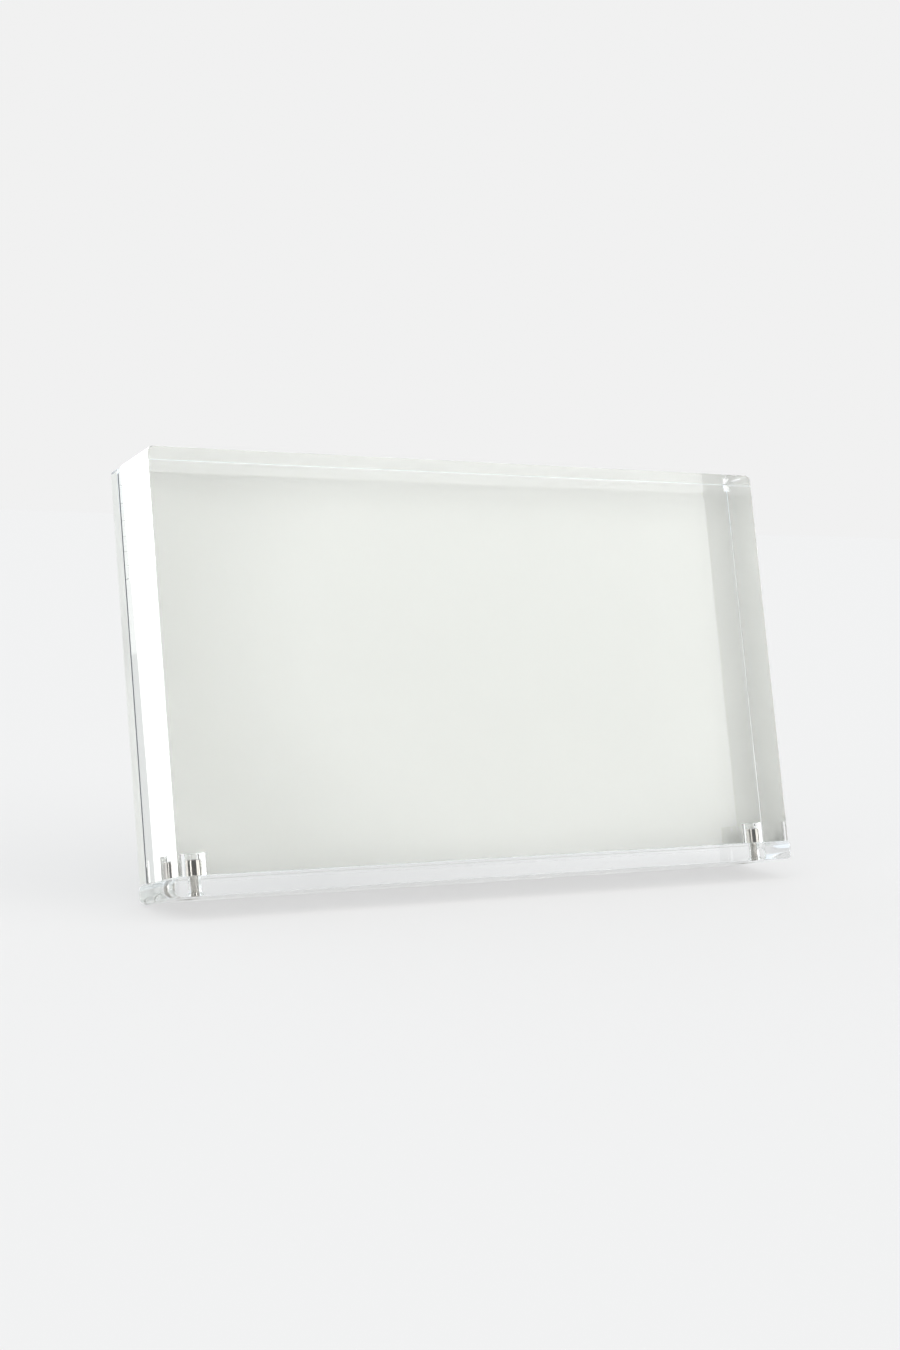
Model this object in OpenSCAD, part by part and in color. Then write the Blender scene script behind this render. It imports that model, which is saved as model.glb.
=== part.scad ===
// Clear easel frame: a thick polished block shows a photo card through its front, a thin plate backs the card,
// a base bar is screwed up into two metal barrels in the block, and a hinged leg props the frame from behind.
//
// The pieces are drawn in frame coordinates: x to the right, y from the block's front face backwards, and z up
// along the block, with z = 0 on top of the base bar. lean_back() then tips them onto the table at z = 0.
// Hinge coordinates have the pin at their origin, the back plate on the -y side and the leg on the +y side.

/* [Front block] */
// Width of the front block
block_w = 177.8; // [120:0.1:260]
// Height of the front block
block_h = 101.6; // [90:0.1:180]
// Thickness of the front block
block_t = 19.05; // [12:0.05:30]
// Radius of the block's two top corners, seen from the front
block_corner_r = 1.6; // [0.8:0.1:6]
// Polished bevel along the edges of the block and the back plate
edge_bevel = 0.05; // [0.05:0.05:0.8]

/* [Photo card and back plate] */
// Thickness of the photo card, with its backing
card_t = 0.8; // [0.2:0.05:1.4]
// Free space on each side of the card's thickness
card_gap = 0.1; // [0.05:0.05:0.4]
// How far the card stays inside the block's left and right faces
card_inset = 0.1; // [0.1:0.1:4]
// How far the card's top edge stays below the block's top face
card_top_drop = 0.1; // [0.1:0.1:4]
// Width of the small step cut out of each of the card's top corners
card_step_w = 1; // [0.6:0.1:4]
// Height of that step
card_step_h = 1.8; // [0.6:0.1:6]
// Thickness of the back plate
plate_t = 4; // [3.6:0.1:8]
// Diameter of the half-round thumb notch in the back plate's top edge
notch_d = 20; // [14:0.5:22]

/* [Base bar] */
// Thickness of the base bar
base_t = 4.8; // [4.6:0.1:9]
// How far the base bar reaches past each side of the block
base_overhang = 1.2; // [0.5:0.1:6]
// How far the bar's rear face stays inside the back plate's rear face
base_setback = 1.4; // [0:0.1:2.5]
// Radius of the bar's upright corners
base_corner_r = 1.2; // [0.8:0.1:6]
// Radius of the rounded edges across the bar's two ends
base_end_r = 2.2; // [0.8:0.1:2.2]
// Radius of the rounded edges along the bar's front and back
base_edge_r = 0.2; // [0.2:0.1:1.6]

/* [Barrels and base screws] */
// Distance from the block's side face to the middle of a barrel
barrel_inset = 6.9; // [5:0.1:20]
// Diameter of a threaded barrel
barrel_d = 6.5; // [6:0.1:8]
// Length of a threaded barrel
barrel_l = 4.2; // [3:0.1:12]
// Free depth of the block's hole above the barrel
barrel_headroom = 1.4; // [0.8:0.1:4]
// Diameter of the base screw's thread
screw_d = 3; // [2.5:0.1:3.5]
// Diameter of the base screw's countersunk head
screw_head_d = 5.6; // [5:0.1:6.5]
// Width across the flats of the base screw's hexagon socket
screw_socket = 2; // [1.5:0.1:2.4]

/* [Easel leg] */
// How far the frame leans back from upright
lean = 15; // [12.5:0.5:18]
// Angle between the open leg and the back plate
leg_open = 28; // [22:0.5:36]
// Distance from the back plate's top edge down to the hinge's pin
hinge_drop = 23.6; // [22:0.1:40]
// Thickness of the leg
leg_t = 3; // [2.5:0.1:5]
// Width of the leg at its heel
leg_top_w = 34; // [30:1:60]
// Width of the leg at its foot
leg_foot_w = 58; // [40:1:100]
// Radius of the leg's corners
leg_corner_r = 5; // [2:0.5:6]
// Free space between the heel and the back plate when the leg is open
heel_gap = 0.1; // [0.05:0.05:0.3]

/* [Hinge] */
// Width of the hinge
hinge_w = 26; // [22:1:30]
// Thickness of a hinge leaf
leaf_t = 1; // [0.9:0.1:1.3]
// How far a leaf reaches below the pin
leaf_drop = 14; // [12:0.5:18]
// Outer diameter of the knuckles
knuckle_d = 4; // [3.6:0.1:5]
// Share of the hinge's width that the middle knuckle takes
middle_knuckle_share = 0.4; // [0.3:0.05:0.5]
// Diameter of the hinge's pin
pin_d = 2; // [1.6:0.1:2.2]
// Height of the pin's peened heads
pin_head_h = 0.6; // [0.4:0.1:1.2]
// How far a pin head stands proud of the pin all round
pin_head_lip = 0.45; // [0.3:0.05:0.6]
// Diameter of the leaf screws' thread
leaf_screw_d = 2; // [1.6:0.1:2.2]
// Diameter of the leaf screws' countersunk head
leaf_screw_head_d = 3.4; // [3:0.1:3.6]
// How deep a leaf screw goes into the clear sheet behind its leaf
leaf_screw_bite = 2.4; // [1.6:0.1:2.4]
// Distance between the two screws of a leaf
leaf_screw_pitch = 15; // [12:0.5:18]
// Distance from the pin down to the leaf screws
leaf_screw_drop = 8.5; // [7:0.5:9]

/* [Hidden] */
$fn = 64;
corner_fn = 32;

// Clearances, and one overrun for every cut
overrun = 1;
fit_clear = 0.05;
bar_film = 0.05;
screw_clear = 0.2;
running_clear = 0.06;
knuckle_side_clear = 0.15;
knuckle_swing_clear = 0.3;
drill_clear = 0.5;

// Depths along y
slot_y = block_t;
slot_t = card_t + 2 * card_gap;
plate_y = slot_y + slot_t;
depth = plate_y + plate_t;
bar_depth = depth - base_setback;
bar_z = -bar_film - base_t;

// Base screws and barrels
barrel_x = block_w / 2 - barrel_inset;
barrel_y = bar_depth / 2;
barrel_hole_depth = barrel_l + barrel_headroom;
barrel_chamfer_share = 0.08;
barrel_chamfer = barrel_d * barrel_chamfer_share / 2;
screw_tip_gap = 0.05;
screw_l = base_t + bar_film + barrel_l - screw_tip_gap;
screw_cone_h = (screw_head_d - screw_d) / 2;
screw_land = 0.2;
socket_depth_share = 0.75;
socket_depth = (screw_land + screw_cone_h) * socket_depth_share;
socket_d = screw_socket / cos(30);

// Hinge: both sheets keep the same distance from the pin, and each has its leaf on the face towards the pin
axis_off = knuckle_d / 2 + knuckle_swing_clear;
axis_y = depth + axis_off;
hinge_z = block_h - hinge_drop;
middle_w = hinge_w * middle_knuckle_share;
side_w = (hinge_w - middle_w) / 2 - knuckle_side_clear;
side_x = (hinge_w - side_w) / 2;
middle_places = [0];
side_places = [-side_x, side_x];
leaf_cone_h = (leaf_screw_head_d - leaf_screw_d) / 2;
leaf_slot_share = 0.13;
leaf_slot = leaf_screw_head_d * leaf_slot_share;

// Where the frame stands: the back lower edge of the base bar is round, and rolls down to the table
edge_y = bar_depth - base_edge_r;
edge_z = bar_z + base_edge_r;
lift = edge_y * sin(lean) - edge_z * cos(lean) + base_edge_r;

// The leg reaches from the pin to the table, and its heel stops it against the back plate
splay = leg_open - lean;
axis_height = lift - axis_y * sin(lean) + hinge_z * cos(lean);
leg_below = (axis_height + axis_off * sin(splay)) / cos(splay);
leg_above = (axis_off * cos(leg_open) + axis_off - heel_gap) / sin(leg_open);

// Front and back limits of the whole frame, which put the origin in the middle of its footprint
front_limit = base_edge_r * cos(lean) + edge_z * sin(lean) - base_edge_r;
axis_place = axis_y * cos(lean) + hinge_z * sin(lean);
back_limit = axis_place + (axis_off + leg_t) * cos(splay) + leg_below * sin(splay);
middle_y = (front_limit + back_limit) / 2;

// Tips a piece from frame coordinates onto the table
module lean_back() {
    translate([0, -middle_y, lift]) rotate([-lean, 0, 0]) children();
}

// Moves a piece from hinge coordinates to its place in frame coordinates
module at_hinge() {
    translate([0, axis_y, hinge_z]) children();
}

// Stands a piece on the table that is drawn in hinge coordinates on the folded leg, with the leg open
module on_leg() {
    lean_back() at_hinge() rotate([leg_open, 0, 0]) children();
}

// Rectangle with cut corners, its lower left corner at the origin
module bevelled(w, h, c) {
    polygon([[c, 0], [w - c, 0], [w, c], [w, h - c], [w - c, h], [c, h], [0, h - c], [0, c]]);
}

// Rectangle with round corners, its lower left corner at the origin
module rounded(w, h, r) {
    translate([r, 0]) square([w - 2 * r, h]);
    translate([0, r]) square([w, h - 2 * r]);
    for (x = [r, w - r], y = [r, h - r])
        translate([x, y]) circle(r = r);
}

// Extrudes a profile drawn in x and z along y, from y = 0 backwards
module along_y(l) {
    translate([0, l, 0]) rotate([90, 0, 0]) linear_extrude(l) children();
}

// Extrudes a profile drawn in y and z along x, centred on x = 0
module along_x(l) {
    rotate([90, 0, 90]) linear_extrude(l, center = true) children();
}

// Front view of a clear sheet: square at its lower corners and round at the two upper ones
module sheet_outline(w, h) {
    translate([-w / 2, 0]) square([w, h - block_corner_r]);
    translate([block_corner_r - w / 2, 0]) square([w - 2 * block_corner_r, h]);
    for (side = [-1, 1])
        translate([side * (w / 2 - block_corner_r), h - block_corner_r]) circle(r = block_corner_r);
}

// Clear sheet standing on its lower edge, with a bevel on its upright and level edges
module clear_sheet(w, t, h) {
    intersection() {
        along_y(t) sheet_outline(w, h);
        along_x(w) bevelled(t, h, edge_bevel);
        translate([-w / 2, 0, 0]) linear_extrude(h) bevelled(w, t, edge_bevel);
    }
}

// Countersunk screw pointing up from z = 0, with its head's flat face down
module countersunk(d, head_d, land, cone_h, l) {
    cylinder(d = head_d, h = land);
    translate([0, 0, land]) cylinder(d1 = head_d, d2 = d, h = cone_h);
    cylinder(d = d, h = l);
}

// Thick clear block, with a blind hole under each end for a barrel
module front_block() {
    color([0.80, 0.90, 0.88, 0.35]) lean_back() difference() {
        clear_sheet(block_w, block_t, block_h);
        for (side = [-1, 1])
            translate([side * barrel_x, barrel_y, -overrun])
                cylinder(d = barrel_d + 2 * fit_clear, h = overrun + barrel_hole_depth);
    }
}

// White card that stands on the bar in the slot between the block and the back plate, with a small step cut out
// of each top corner
module photo_card() {
    half_w = block_w / 2 - card_inset;
    top_z = block_h - card_top_drop;
    color([0.93, 0.93, 0.91]) lean_back() translate([0, slot_y + card_gap, 0]) difference() {
        translate([-half_w, 0, -bar_film]) cube([2 * half_w, card_t, top_z + bar_film]);
        for (side = [-1, 1])
            translate([side * half_w, card_t / 2, top_z])
                cube([2 * card_step_w, card_t + 2 * overrun, 2 * card_step_h], center = true);
    }
}

// Thin clear plate behind the card, with a thumb notch and blind holes for the hinge's screws
module back_plate() {
    color([0.84, 0.92, 0.90, 0.35]) lean_back() difference() {
        translate([0, plate_y, 0]) clear_sheet(block_w, plate_t, block_h);
        translate([0, plate_y - overrun, block_h]) along_y(plate_t + 2 * overrun) circle(d = notch_d);
        at_hinge() leaf_screw_holes(leaf_screw_bite + drill_clear);
    }
}

// Clear bar under the block and the plate, rounded on every edge, with a countersunk hole for each screw
module base_bar() {
    bar_w = block_w + 2 * base_overhang;
    color([0.86, 0.94, 0.92, 0.35]) lean_back() translate([0, 0, bar_z]) difference() {
        intersection() {
            translate([-bar_w / 2, 0, 0]) linear_extrude(base_t) rounded(bar_w, bar_depth, base_corner_r);
            translate([-bar_w / 2, 0, 0]) along_y(bar_depth) rounded(bar_w, base_t, base_end_r);
            along_x(bar_w) rounded(bar_depth, base_t, base_edge_r);
        }
        for (side = [-1, 1])
            translate([side * barrel_x, barrel_y, 0]) base_screw_hole();
    }
}

// Hole for a base screw, cut up from the bar's lower face at z = 0
module base_screw_hole() {
    head_d = screw_head_d + 2 * fit_clear;
    translate([0, 0, -overrun]) cylinder(d = head_d, h = overrun + screw_land);
    translate([0, 0, screw_land]) cylinder(d1 = head_d, d2 = screw_d + 2 * fit_clear, h = screw_cone_h);
    translate([0, 0, -overrun]) cylinder(d = screw_d + 2 * screw_clear, h = base_t + 2 * overrun);
}

// Threaded metal barrel, set up into the block from its lower face, chamfered at both ends
module barrel(side) {
    end_d = barrel_d - 2 * barrel_chamfer;
    color([0.78, 0.77, 0.74]) lean_back() translate([side * barrel_x, barrel_y, 0]) difference() {
        union() {
            cylinder(d1 = end_d, d2 = barrel_d, h = barrel_chamfer);
            translate([0, 0, barrel_chamfer]) cylinder(d = barrel_d, h = barrel_l - 2 * barrel_chamfer);
            translate([0, 0, barrel_l - barrel_chamfer])
                cylinder(d1 = barrel_d, d2 = end_d, h = barrel_chamfer);
        }
        translate([0, 0, -overrun]) cylinder(d = screw_d + 2 * fit_clear, h = barrel_l + 2 * overrun);
    }
}

module barrel_left() {
    barrel(-1);
}

module barrel_right() {
    barrel(1);
}

// Countersunk machine screw with a hexagon socket, up through the base bar into a barrel
module base_screw(side) {
    color([0.70, 0.69, 0.66]) lean_back() translate([side * barrel_x, barrel_y, bar_z]) difference() {
        countersunk(screw_d, screw_head_d, screw_land, screw_cone_h, screw_l);
        translate([0, 0, -overrun]) cylinder(d = socket_d, h = overrun + socket_depth, $fn = 6);
    }
}

module base_screw_left() {
    base_screw(-1);
}

module base_screw_right() {
    base_screw(1);
}

// Outline of the leg in x and z: narrow at its heel above the pin, wide at its foot, and round at the corners
module leg_outline() {
    hull() {
        for (side = [-1, 1]) {
            translate([side * (leg_top_w / 2 - leg_corner_r), leg_above - leg_corner_r])
                circle(r = leg_corner_r, $fn = corner_fn);
            translate([side * (leg_foot_w / 2 - leg_corner_r), leg_corner_r - leg_below])
                circle(r = leg_corner_r, $fn = corner_fn);
        }
    }
}

// Clear leg that hangs from the hinge and props the frame from behind, drilled through for the hinge's screws
module easel_leg() {
    color([0.84, 0.92, 0.90, 0.35]) on_leg() difference() {
        translate([0, axis_off, 0]) along_y(leg_t) leg_outline();
        mirror([0, 1, 0]) leaf_screw_holes(leg_t + overrun);
    }
}

// Holes of a leaf's two screws in the sheet behind it, in hinge coordinates on the back plate's side
module leaf_screw_holes(h) {
    for (side = [-1, 1])
        translate([side * leaf_screw_pitch / 2, overrun - axis_off, -leaf_screw_drop])
            rotate([90, 0, 0]) cylinder(d = leaf_screw_d + 2 * fit_clear, h = overrun + h);
}

// Countersunk hole through a leaf, pointing up from the face at z = 0 where the screw's head lies
module leaf_hole() {
    hole_d = leaf_screw_d + 2 * fit_clear;
    head_d = leaf_screw_head_d + 2 * fit_clear;
    translate([0, 0, -overrun]) cylinder(d = head_d, h = overrun);
    cylinder(d1 = head_d, d2 = hole_d, h = leaf_cone_h);
    translate([0, 0, -overrun]) cylinder(d = hole_d, h = leaf_t + 2 * overrun);
}

// Flat of a leaf against the back plate, with its holes and with room for the other leaf's knuckles
module leaf_flat(other_places, other_w) {
    room = knuckle_d / 2 + knuckle_swing_clear;
    difference() {
        translate([-hinge_w / 2, -axis_off, -leaf_drop]) cube([hinge_w, leaf_t, leaf_drop]);
        for (side = [-1, 1])
            translate([side * leaf_screw_pitch / 2, leaf_t - axis_off, -leaf_screw_drop])
                rotate([90, 0, 0]) leaf_hole();
        for (x = other_places)
            translate([x - other_w / 2 - knuckle_side_clear, -axis_off - overrun, -room])
                cube([other_w + 2 * knuckle_side_clear, leaf_t + 2 * overrun, room + overrun]);
    }
}

// Leaf of the hinge in hinge coordinates on the back plate's side: knuckles of width w at the given places,
// each joined to the flat by a square shoulder below the pin, and one bore through them for the pin
module leaf(places, w, other_places, other_w) {
    difference() {
        union() {
            leaf_flat(other_places, other_w);
            for (x = places)
                translate([x - w / 2, 0, 0]) {
                    rotate([0, 90, 0]) cylinder(d = knuckle_d, h = w);
                    translate([0, -axis_off, -knuckle_d / 2]) cube([w, axis_off, knuckle_d / 2]);
                }
        }
        rotate([0, 90, 0]) cylinder(d = pin_d + 2 * running_clear, h = hinge_w + 2 * overrun, center = true);
    }
}

// Leaf screwed to the back plate, with the two outer knuckles
module hinge_plate_leaf() {
    color([0.75, 0.74, 0.72]) lean_back() at_hinge() leaf(side_places, side_w, middle_places, middle_w);
}

// Leaf screwed to the leg, with the middle knuckle
module hinge_leg_leaf() {
    color([0.75, 0.74, 0.72]) on_leg() mirror([0, 1, 0]) leaf(middle_places, middle_w, side_places, side_w);
}

// Pin through all three knuckles, with a peened head at each end
module hinge_pin() {
    head_d = pin_d + 2 * pin_head_lip;
    color([0.68, 0.67, 0.65]) lean_back() at_hinge() rotate([0, 90, 0]) {
        cylinder(d = pin_d, h = hinge_w, center = true);
        for (flip = [0, 1])
            mirror([0, 0, flip]) translate([0, 0, hinge_w / 2])
                cylinder(d1 = head_d, d2 = pin_d, h = pin_head_h);
    }
}

// Two countersunk screws with a slot, through a leaf into the sheet behind it, on the back plate's side
module leaf_screws() {
    for (side = [-1, 1])
        translate([side * leaf_screw_pitch / 2, leaf_t - axis_off, -leaf_screw_drop]) rotate([90, 0, 0])
            difference() {
                countersunk(leaf_screw_d, leaf_screw_head_d, 0, leaf_cone_h, leaf_t + leaf_screw_bite);
                translate([-leaf_screw_head_d, -leaf_slot / 2, -overrun])
                    cube([2 * leaf_screw_head_d, leaf_slot, overrun + leaf_slot]);
            }
}

// Screws that hold a leaf to the back plate
module plate_leaf_screws() {
    color([0.70, 0.69, 0.66]) lean_back() at_hinge() leaf_screws();
}

// Screws that hold the other leaf to the leg
module leg_leaf_screws() {
    color([0.70, 0.69, 0.66]) on_leg() mirror([0, 1, 0]) leaf_screws();
}

front_block();
photo_card();
back_plate();
base_bar();
barrel_left();
barrel_right();
base_screw_left();
base_screw_right();
easel_leg();
hinge_plate_leaf();
hinge_leg_leaf();
hinge_pin();
plate_leaf_screws();
leg_leaf_screws();
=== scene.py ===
"""Looks of a clear acrylic easel frame: refraction in its clear pieces, a white card and polished hardware."""
import math

import bpy
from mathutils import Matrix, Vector

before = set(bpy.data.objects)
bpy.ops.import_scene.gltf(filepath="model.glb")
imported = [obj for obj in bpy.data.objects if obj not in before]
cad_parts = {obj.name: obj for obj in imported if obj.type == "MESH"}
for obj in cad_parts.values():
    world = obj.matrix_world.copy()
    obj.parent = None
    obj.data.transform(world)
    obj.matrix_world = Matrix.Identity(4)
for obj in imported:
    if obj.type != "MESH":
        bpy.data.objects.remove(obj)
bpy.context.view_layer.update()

SHADER = "Principled BSDF"
WHITE = (1.0, 1.0, 1.0)

# The Mix node's sockets for colours and for vectors, by number: those of all its data types share their names
MIX_COLORS, MIX_COLOR_RESULT = (6, 7), 2
MIX_VECTORS, MIX_VECTOR_RESULT = (4, 5), 1

# Camera, fitted to the photograph: place in metres, turn in degrees
CAMERA_PLACE = (-0.28035, -0.48737, 0.10351)
CAMERA_TURN = (83.772, -2.551, -30.755)
LENS_MM = 57.43
SENSOR_MM = 36
SHIFT = (-0.02907, 0.03163)

# The backdrop and the floor show as one pale grey; the floor keeps this share of its own light and shadow
BACKDROP = 0.879
SHADOW_SHARE = 0.33
FLOOR_ALBEDO = 0.724
FLOOR_TINT = (1.01, 0.995, 0.975)
FLOOR_SIZE = 8.0

# Light levels of the surroundings, and the tint of the room behind the frame
FRONT_LEVEL = 1.68
REAR_LEVEL = 1.0
REAR_TINT = (0.93, 1.0, 1.07)
KEY_LEVEL = 2.8
LOW_LEVEL = 5.0
DARK_LEVEL = 0.05

# How the room turns from rear to front: the forward part of a direction, times the slope, plus the start
FORWARDS = (0, -1, 0)
FRONT_SLOPE = 2
FRONT_START = 0.4

# Places of the lights in degrees. Azimuth 0 is straight in front of the frame, and positive to its right.
# A panel's are azimuth, elevation, half width, half height, and the soft rims at its sides and at its ends.
DARK_PANEL = (-14, 19, 32, 10, 3, 4)
LOW_PANEL = (50, 1.5, 28, 6.5, 5, 2)
# The disc's are azimuth, elevation, radius and soft rim
KEY_DISC = (34.6, 22, 6, 3)

# A ray may bounce this often inside the clear pieces
LIGHT_BOUNCES = 128

# Directions across, into and up the frame, which leans back
LEAN = math.radians(15)
ACROSS = (1, 0, 0)
BACK = (0, math.cos(LEAN), -math.sin(LEAN))
UP = (0, math.sin(LEAN), math.cos(LEAN))

# The open leg stands this far from upright the other way, and its broad faces look along LEG_BACK
LEG_LEAN = math.radians(13)
LEG_BACK = (0, math.cos(LEG_LEAN), math.sin(LEG_LEAN))

# Half the width of the clear pieces and of the card, and how far inside it a point still counts as on a side
# face. The bar is wider, and its rounded ends start a little further in.
CLEAR_HALF = 0.0889
CARD_HALF = 0.0888
SIDE_MARGIN = 0.00005
BAR_END_MARGIN = 0.0004

# Above this height along UP the barrels are left behind
BARREL_ZONE = 0.03

# Place of the barrels' axes: to either side of the middle, and along BACK
BARREL_ASIDE = 0.082
BARREL_BACK = -0.024214

# A face counts as tilted towards an axis where its normal's part along it is above CORNER_TILT, and as tilted
# away from it where that part is below EASED_BELOW
EASED_BELOW = 0.98
CORNER_TILT = 0.08

# Refractive index and absorption of acrylic sheet, and its colours: polished, sawn, and at the fine bevels
ACRYLIC_IOR = 1.51
ACRYLIC_TINT = (0.88, 0.95, 0.9)
ACRYLIC_DENSITY = 1.5
CLEAR_COLOR = WHITE
BAR_COLOR = (0.935, 0.94, 0.94)
SAWN_COLOR = (0.99, 0.985, 0.93)
CORNER_COLOR = (0.84, 0.87, 0.81)

# Noises: scales per metre, and the part of their range between the two ends of what they drive
POLISH_SCALE = 60
GROUND_SCALE = 900
FIBRE_SCALE = 2600
WEAR_SCALE = 700
BLOTCH_SCALE = 300
GRAIN_STRETCH = (150, 9000, 9000)
NOISE_RANGE = (0.3, 0.7)
POLISH_RANGE = (0.35, 0.75)
GROUND_SPREAD = (0.85, 1.15)

# Card: paper, and a near-black painted shade on its cut edges standing in for the shadow in the slot, each from
# dark to pale fibre
PAPER_COLORS = ((0.918, 0.934, 0.881), (0.942, 0.956, 0.902))
SLOT_SHADE_COLORS = ((0.10, 0.11, 0.12), (0.16, 0.17, 0.18))
PAPER_ROUGHNESS = (0.82, 0.96)
FIBRE_RELIEF = (0.25, 0.00004)

# Metals: colours, the tones that they vary between, and reliefs as strength and depth in metres
NICKEL_COLOR = (0.48, 0.46, 0.425)
STEEL_COLOR = (0.5, 0.48, 0.44)
SMALL_SCREW_COLOR = (0.6, 0.59, 0.57)
HINGE_COLOR = (0.74, 0.73, 0.71)
METAL_TONES = (0.94, 1.05)
BRUSHED_TONES = (0.93, 1.0)
RING_PITCH = 0.00012
RING_RELIEF = (1.0, 0.0000006)
THREAD_PITCH = 0.0005
THREAD_RELIEF = (1.0, 0.00006)
GRAIN_RELIEF = (0.3, 0.00002)


def new_material(name):
    """A material with a Principled shader and an output."""
    mat = bpy.data.materials.new(name)
    mat.use_nodes = True
    return mat, mat.node_tree, mat.node_tree.nodes[SHADER]


def add(tree, kind, **sockets):
    """Adds a node and sets its named sockets."""
    node = tree.nodes.new(kind)
    for name, value in sockets.items():
        node.inputs[name.replace("_", " ")].default_value = value
    return node


def math_node(tree, operation, first, second=None, clamp=False):
    """Adds a Math node on sockets or numbers, and returns its output."""
    node = tree.nodes.new("ShaderNodeMath")
    node.operation = operation
    node.use_clamp = clamp
    for socket, value in zip(node.inputs, (first, second)):
        if value is None:
            continue
        if isinstance(value, (int, float)):
            socket.default_value = value
        else:
            tree.links.new(value, socket)
    return node.outputs[0]


def dot_node(tree, vector, direction):
    """Dot product of a vector socket with a fixed direction."""
    node = tree.nodes.new("ShaderNodeVectorMath")
    node.operation = "DOT_PRODUCT"
    tree.links.new(vector, node.inputs[0])
    node.inputs[1].default_value = direction
    return node.outputs["Value"]


def place(tree):
    """The point's place on its piece at rest, in the shared frame and in metres, as a vector socket."""
    return tree.nodes.new("ShaderNodeTexCoord").outputs["Object"]


def split_place(tree):
    """The point's place, split into its three parts."""
    split = tree.nodes.new("ShaderNodeSeparateXYZ")
    tree.links.new(place(tree), split.inputs[0])
    return split.outputs


def noise(tree, scale, detail=3.0, stretch=(1, 1, 1), roughness=0.5):
    """Noise from 0 to 1 over the piece, at a scale per metre."""
    mapping = add(tree, "ShaderNodeMapping", Scale=stretch)
    tree.links.new(place(tree), mapping.inputs["Vector"])
    node = add(tree, "ShaderNodeTexNoise", Scale=scale, Detail=detail, Roughness=roughness)
    tree.links.new(mapping.outputs[0], node.inputs["Vector"])
    return node.outputs[0]


def ramp(tree, value, low, high, from_low, from_high):
    """Maps a socket from one range to another, clamped."""
    node = add(tree, "ShaderNodeMapRange")
    node.clamp = True
    tree.links.new(value, node.inputs["Value"])
    limits = (("From Min", from_low), ("From Max", from_high), ("To Min", low), ("To Max", high))
    for name, number in limits:
        node.inputs[name].default_value = number
    return node.outputs[0]


def mix_color(tree, share, first, second):
    """Colour between two fixed colours or sockets, by a share from 0 to 1."""
    node = tree.nodes.new("ShaderNodeMix")
    node.data_type = "RGBA"
    tree.links.new(share, node.inputs["Factor"])
    for number, value in zip(MIX_COLORS, (first, second)):
        if isinstance(value, tuple):
            node.inputs[number].default_value = (*value, 1)
        else:
            tree.links.new(value, node.inputs[number])
    return node.outputs[MIX_COLOR_RESULT]


def blend_levels(tree, under, over, share):
    """Level between two sockets or numbers, by a share from 0 to 1."""
    rest = math_node(tree, "MULTIPLY", math_node(tree, "SUBTRACT", 1, share), under)
    return math_node(tree, "ADD", rest, math_node(tree, "MULTIPLY", share, over))


def bump(tree, shader, height, relief):
    """Joins a height socket to the shader's normal, with a relief of a strength and a depth."""
    strength, depth = relief
    node = add(tree, "ShaderNodeBump", Strength=strength, Distance=depth)
    tree.links.new(height, node.inputs["Height"])
    tree.links.new(node.outputs[0], shader.inputs["Normal"])


def dress(node_names, mat):
    """Gives CAD nodes one material."""
    for name in node_names:
        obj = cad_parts[name]
        obj.data.materials.clear()
        obj.data.materials.append(mat)


def side_faces(tree, half):
    """Share 1 beyond a half width, left and right."""
    return math_node(tree, "GREATER_THAN", math_node(tree, "ABSOLUTE", split_place(tree)["X"]), half)


def bevels(tree):
    """Share 1 on the block's fine bevels above the barrels. They face both forwards or backwards and aside."""
    normal = tree.nodes.new("ShaderNodeNewGeometry").outputs["True Normal"]
    back = math_node(tree, "ABSOLUTE", dot_node(tree, normal, BACK))
    tilted = math_node(tree, "GREATER_THAN", back, CORNER_TILT)
    short = math_node(tree, "LESS_THAN", back, EASED_BELOW)
    high = math_node(tree, "GREATER_THAN", dot_node(tree, place(tree), UP), BARREL_ZONE)
    return math_node(tree, "MULTIPLY", math_node(tree, "MULTIPLY", tilted, short), high)


def leg_edges(tree):
    """Share 1 on the leg's narrow faces. It goes by the piece's own directions, because the leg turns."""
    normal = tree.nodes.new("ShaderNodeTexCoord").outputs["Normal"]
    broad = math_node(tree, "ABSOLUTE", dot_node(tree, normal, LEG_BACK))
    return math_node(tree, "LESS_THAN", broad, EASED_BELOW)


def acrylic(name, clear, polish, satin=0.0, satin_mask=None, cloud=0.0, cloud_color=None):
    """Clear acrylic sheet with a polish that varies a little. Where the mask is 1 it is satin, with a share of
    cloud from the saw or the flame."""
    mat, tree, shader = new_material(name)
    shader.inputs["Base Color"].default_value = (*clear, 1)
    shader.inputs["Transmission Weight"].default_value = 1
    shader.inputs["IOR"].default_value = ACRYLIC_IOR
    haze = ramp(tree, noise(tree, POLISH_SCALE, detail=2.0), 0.0, polish, *POLISH_RANGE)
    if satin_mask:
        mask = satin_mask(tree)
        low, high = (satin * part for part in GROUND_SPREAD)
        ground = ramp(tree, noise(tree, GROUND_SCALE, detail=4.0), low, high, *NOISE_RANGE)
        haze = blend_levels(tree, haze, ground, mask)
        if cloud:
            through = math_node(tree, "SUBTRACT", 1, math_node(tree, "MULTIPLY", mask, cloud))
            tree.links.new(through, shader.inputs["Transmission Weight"])
            tree.links.new(mix_color(tree, mask, clear, cloud_color), shader.inputs["Base Color"])
    tree.links.new(haze, shader.inputs["Roughness"])
    absorb = add(tree, "ShaderNodeVolumeAbsorption", Color=(*ACRYLIC_TINT, 1), Density=ACRYLIC_DENSITY)
    tree.links.new(absorb.outputs[0], tree.nodes["Material Output"].inputs["Volume"])
    return mat


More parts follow.
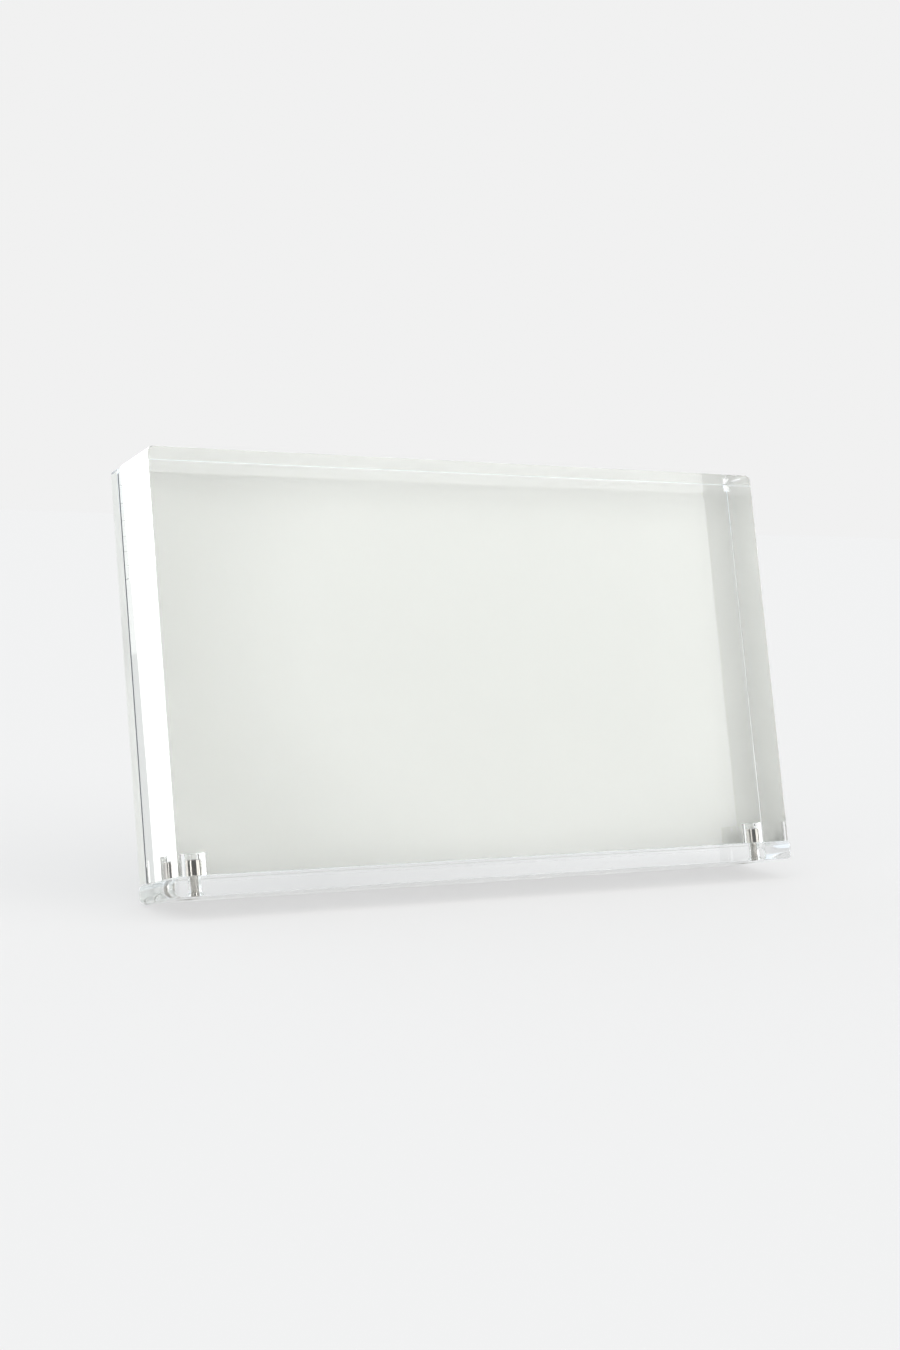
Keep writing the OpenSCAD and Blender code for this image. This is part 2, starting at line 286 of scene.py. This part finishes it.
def square_corners(mat):
    """Shades the block's two rounded top corners like its side faces, so that the light led along the block
    doesn't draw them as dark bars across the far face."""
    tree = mat.node_tree
    geometry = tree.nodes.new("ShaderNodeNewGeometry")
    across = dot_node(tree, geometry.outputs["True Normal"], ACROSS)
    share = 1
    for part in (across, dot_node(tree, geometry.outputs["True Normal"], UP)):
        tilted = math_node(tree, "GREATER_THAN", math_node(tree, "ABSOLUTE", part), CORNER_TILT)
        share = math_node(tree, "MULTIPLY", tilted, share)
    sideways = tree.nodes.new("ShaderNodeCombineXYZ")
    tree.links.new(math_node(tree, "SIGN", across), sideways.inputs["X"])
    mix = tree.nodes.new("ShaderNodeMix")
    mix.data_type = "VECTOR"
    tree.links.new(share, mix.inputs[0])
    for number, normal in zip(MIX_VECTORS, (geometry.outputs["Normal"], sideways.outputs[0])):
        tree.links.new(normal, mix.inputs[number])
    tree.links.new(mix.outputs[MIX_VECTOR_RESULT], tree.nodes[SHADER].inputs["Normal"])


def card_paper():
    """Matt white card with a fine fibre; its cut edges carry a near-black painted shade for the shadow in its
    slot.
    """
    mat, tree, shader = new_material("photo_card")
    fibre = noise(tree, FIBRE_SCALE, detail=5.0, roughness=0.65)
    tone = ramp(tree, fibre, 0.0, 1.0, *NOISE_RANGE)
    paper = mix_color(tree, tone, *PAPER_COLORS)
    # Painted shade: the cut edges are coloured near black to stand in for the shadow in the slot
    edge = mix_color(tree, tone, *SLOT_SHADE_COLORS)
    color = mix_color(tree, side_faces(tree, CARD_HALF - SIDE_MARGIN), paper, edge)
    tree.links.new(color, shader.inputs["Base Color"])
    tree.links.new(ramp(tree, fibre, *PAPER_ROUGHNESS, 0.0, 1.0), shader.inputs["Roughness"])
    bump(tree, shader, fibre, FIBRE_RELIEF)
    return mat


def tones(color, factors):
    """A colour times each factor, no part above 1."""
    return [tuple(min(1.0, part * factor) for part in color) for factor in factors]


def metal(name, color, roughness):
    """Plated metal whose tone and polish vary a little with a noise."""
    mat, tree, shader = new_material(name)
    shader.inputs["Metallic"].default_value = 1
    smear = noise(tree, WEAR_SCALE)
    tone = ramp(tree, smear, 0, 1, *NOISE_RANGE)
    tree.links.new(mix_color(tree, tone, *tones(color, METAL_TONES)), shader.inputs["Base Color"])
    tree.links.new(ramp(tree, smear, *roughness, *NOISE_RANGE), shader.inputs["Roughness"])
    return mat, tree, shader


def turns(tree, pitch, start):
    """Wave along the barrels' and base screws' axes: rings, or a thread where it starts from the turn about the
    axis."""
    phase = math_node(tree, "MULTIPLY", dot_node(tree, place(tree), UP), 2 * math.pi / pitch)
    return math_node(tree, "SINE", math_node(tree, "ADD", phase, start))


def axis_turn(tree):
    """Angle about the axis of the base screw that the point belongs to."""
    across = split_place(tree)["X"]
    aside = math_node(tree, "SUBTRACT", math_node(tree, "ABSOLUTE", across), BARREL_ASIDE)
    aside = math_node(tree, "MULTIPLY", aside, math_node(tree, "SIGN", across))
    behind = math_node(tree, "SUBTRACT", dot_node(tree, place(tree), BACK), BARREL_BACK)
    return math_node(tree, "ARCTAN2", behind, aside)


def turned_metal():
    """Polished nickel of the barrels, with the fine rings of the lathe."""
    mat, tree, shader = metal("polished_nickel", NICKEL_COLOR, roughness=(0.04, 0.1))
    bump(tree, shader, turns(tree, RING_PITCH, 0), RING_RELIEF)
    return mat


def threaded_metal():
    """Bright steel of the base screws, with a thread."""
    mat, tree, shader = metal("steel_screws", STEEL_COLOR, roughness=(0.14, 0.26))
    bump(tree, shader, turns(tree, THREAD_PITCH, axis_turn(tree)), THREAD_RELIEF)
    return mat


def brushed_metal(name, color, roughness):
    """Satin plated metal, brushed across the hinge."""
    mat, tree, shader = new_material(name)
    shader.inputs["Metallic"].default_value = 1
    grain = noise(tree, 1, detail=4.0, stretch=GRAIN_STRETCH)
    tone = ramp(tree, noise(tree, BLOTCH_SCALE), 0, 1, *NOISE_RANGE)
    tree.links.new(mix_color(tree, tone, *tones(color, BRUSHED_TONES)), shader.inputs["Base Color"])
    tree.links.new(ramp(tree, grain, *roughness, *NOISE_RANGE), shader.inputs["Roughness"])
    bump(tree, shader, grain, GRAIN_RELIEF)
    return mat


def direction_to(azimuth, elevation):
    """Direction towards an azimuth and elevation in degrees."""
    a, e = math.radians(azimuth), math.radians(elevation)
    return Vector((math.sin(a) * math.cos(e), -math.cos(a) * math.cos(e), math.sin(e)))


def disc(tree, direction, azimuth, elevation, radius, soft):
    """Share from 0 to 1 of a soft-edged round light seen in a direction, all angles in degrees."""
    angle = math_node(tree, "ARCCOSINE", dot_node(tree, direction, direction_to(azimuth, elevation)))
    edge = math_node(tree, "SUBTRACT", math.radians(radius + soft), angle)
    return math_node(tree, "DIVIDE", edge, math.radians(soft), clamp=True)


def panel(tree, direction, azimuth, elevation, half_width, half_height, soft_side, soft_end):
    """Share from 0 to 1 of a soft-edged rectangular panel seen in a direction, all angles in degrees."""
    out = direction_to(azimuth, elevation)
    across = Vector((math.cos(math.radians(azimuth)), math.sin(math.radians(azimuth)), 0))
    up = across.cross(out) * -1
    ahead = dot_node(tree, direction, out)
    share = math_node(tree, "GREATER_THAN", ahead, 0)
    for axis, half, soft in ((across, half_width, soft_side), (up, half_height, soft_end)):
        off = math_node(tree, "ABSOLUTE", math_node(tree, "DIVIDE", dot_node(tree, direction, axis), ahead))
        edge = math.tan(math.radians(half))
        band = math.tan(math.radians(half + soft)) - edge
        inside = math_node(tree, "SUBTRACT", edge + band, off)
        share = math_node(tree, "MULTIPLY", share, math_node(tree, "DIVIDE", inside, band, clamp=True))
    return share


def show(tree, kind, seen, unseen_shader, seen_shader):
    """Ends a node tree in an output, with one shader where it is seen and another for all else."""
    mix = tree.nodes.new("ShaderNodeMixShader")
    for socket, value in zip(mix.inputs, (seen, unseen_shader.outputs[0], seen_shader.outputs[0])):
        tree.links.new(value, socket)
    tree.links.new(mix.outputs[0], tree.nodes.new(kind).inputs["Surface"])


def studio():
    """Surroundings: a pale room that is brighter in front, a round softbox, a low light on the right, and the
    dark end where the camera is."""
    world = bpy.data.worlds.new("studio")
    bpy.context.scene.world = world
    world.use_nodes = True
    tree = world.node_tree
    tree.nodes.clear()
    direction = tree.nodes.new("ShaderNodeTexCoord").outputs["Generated"]
    front = math_node(tree, "MULTIPLY", dot_node(tree, direction, FORWARDS), FRONT_SLOPE)
    front = math_node(tree, "ADD", front, FRONT_START, clamp=True)
    light = blend_levels(tree, REAR_LEVEL, FRONT_LEVEL, front)
    light = blend_levels(tree, light, DARK_LEVEL, panel(tree, direction, *DARK_PANEL))
    light = blend_levels(tree, light, LOW_LEVEL, panel(tree, direction, *LOW_PANEL))
    light = blend_levels(tree, light, KEY_LEVEL, disc(tree, direction, *KEY_DISC))
    room = tree.nodes.new("ShaderNodeBackground")
    tree.links.new(mix_color(tree, front, REAR_TINT, WHITE), room.inputs["Color"])
    tree.links.new(light, room.inputs["Strength"])
    flat = add(tree, "ShaderNodeBackground", Color=(*WHITE, 1), Strength=BACKDROP)
    seen = tree.nodes.new("ShaderNodeLightPath").outputs["Is Camera Ray"]
    show(tree, "ShaderNodeOutputWorld", seen, room, flat)


def floor():
    """Pale floor that reaches past the view. Seen directly, in metal or through glass it is mostly the
    backdrop's own colour, and the rest of it takes the light and the object's shadow."""
    mesh = bpy.data.meshes.new("floor")
    half = FLOOR_SIZE / 2
    corners = [(-half, -half, 0), (half, -half, 0), (half, half, 0), (-half, half, 0)]
    mesh.from_pydata(corners, [], [(0, 1, 2, 3)])
    obj = bpy.data.objects.new("floor", mesh)
    bpy.context.collection.objects.link(obj)
    mat = bpy.data.materials.new("floor")
    mat.use_nodes = True
    tree = mat.node_tree
    tree.nodes.clear()
    lit, dim = (add(tree, "ShaderNodeBsdfDiffuse", Color=(*[level * part for part in FLOOR_TINT], 1))
                for level in (FLOOR_ALBEDO, FLOOR_ALBEDO * SHADOW_SHARE))
    glow = add(tree, "ShaderNodeEmission", Color=(*WHITE, 1), Strength=BACKDROP * (1 - SHADOW_SHARE))
    both = tree.nodes.new("ShaderNodeAddShader")
    tree.links.new(dim.outputs[0], both.inputs[0])
    tree.links.new(glow.outputs[0], both.inputs[1])
    path = tree.nodes.new("ShaderNodeLightPath").outputs
    seen = math_node(tree, "MAXIMUM", path["Is Camera Ray"], path["Is Glossy Ray"])
    seen = math_node(tree, "MAXIMUM", seen, path["Is Transmission Ray"])
    show(tree, "ShaderNodeOutputMaterial", seen, lit, both)
    mesh.materials.append(mat)


def camera():
    """Camera at the photograph's viewing angle."""
    data = bpy.data.cameras.new("camera")
    data.lens = LENS_MM
    data.sensor_width = SENSOR_MM
    data.shift_x, data.shift_y = SHIFT
    obj = bpy.data.objects.new("camera", data)
    obj.location = CAMERA_PLACE
    obj.rotation_euler = [math.radians(angle) for angle in CAMERA_TURN]
    bpy.context.collection.objects.link(obj)
    bpy.context.scene.camera = obj


BLOCK = acrylic("clear_acrylic", CLEAR_COLOR, polish=0.012,
                satin=0.25, satin_mask=bevels, cloud=0.6, cloud_color=CORNER_COLOR)
square_corners(BLOCK)
PLATE = acrylic("plate_acrylic", CLEAR_COLOR, polish=0.05,
                satin=0.35, satin_mask=lambda tree: side_faces(tree, CLEAR_HALF - SIDE_MARGIN),
                cloud=0.6, cloud_color=SAWN_COLOR)
BAR = acrylic("bar_acrylic", BAR_COLOR, polish=0.03,
              satin=0.09, satin_mask=lambda tree: side_faces(tree, CLEAR_HALF - BAR_END_MARGIN))
LEG = acrylic("leg_acrylic", CLEAR_COLOR, polish=0.03,
              satin=0.35, satin_mask=leg_edges, cloud=0.6, cloud_color=SAWN_COLOR)
dress(["front_block"], BLOCK)
dress(["back_plate"], PLATE)
dress(["base_bar"], BAR)
dress(["easel_leg"], LEG)
dress(["photo_card"], card_paper())
dress(["barrel_left", "barrel_right"], turned_metal())
dress(["base_screw_left", "base_screw_right"], threaded_metal())
dress(["plate_leaf_screws", "leg_leaf_screws"],
      brushed_metal("small_screws", SMALL_SCREW_COLOR, roughness=(0.14, 0.26)))
dress(["hinge_plate_leaf", "hinge_leg_leaf", "hinge_pin"],
      brushed_metal("hinge_steel", HINGE_COLOR, roughness=(0.22, 0.36)))
studio()
floor()
camera()
bpy.context.scene.view_settings.view_transform = "Standard"
bpy.context.scene.cycles.max_bounces = LIGHT_BOUNCES
bpy.context.scene.cycles.glossy_bounces = LIGHT_BOUNCES
bpy.context.scene.cycles.transmission_bounces = LIGHT_BOUNCES
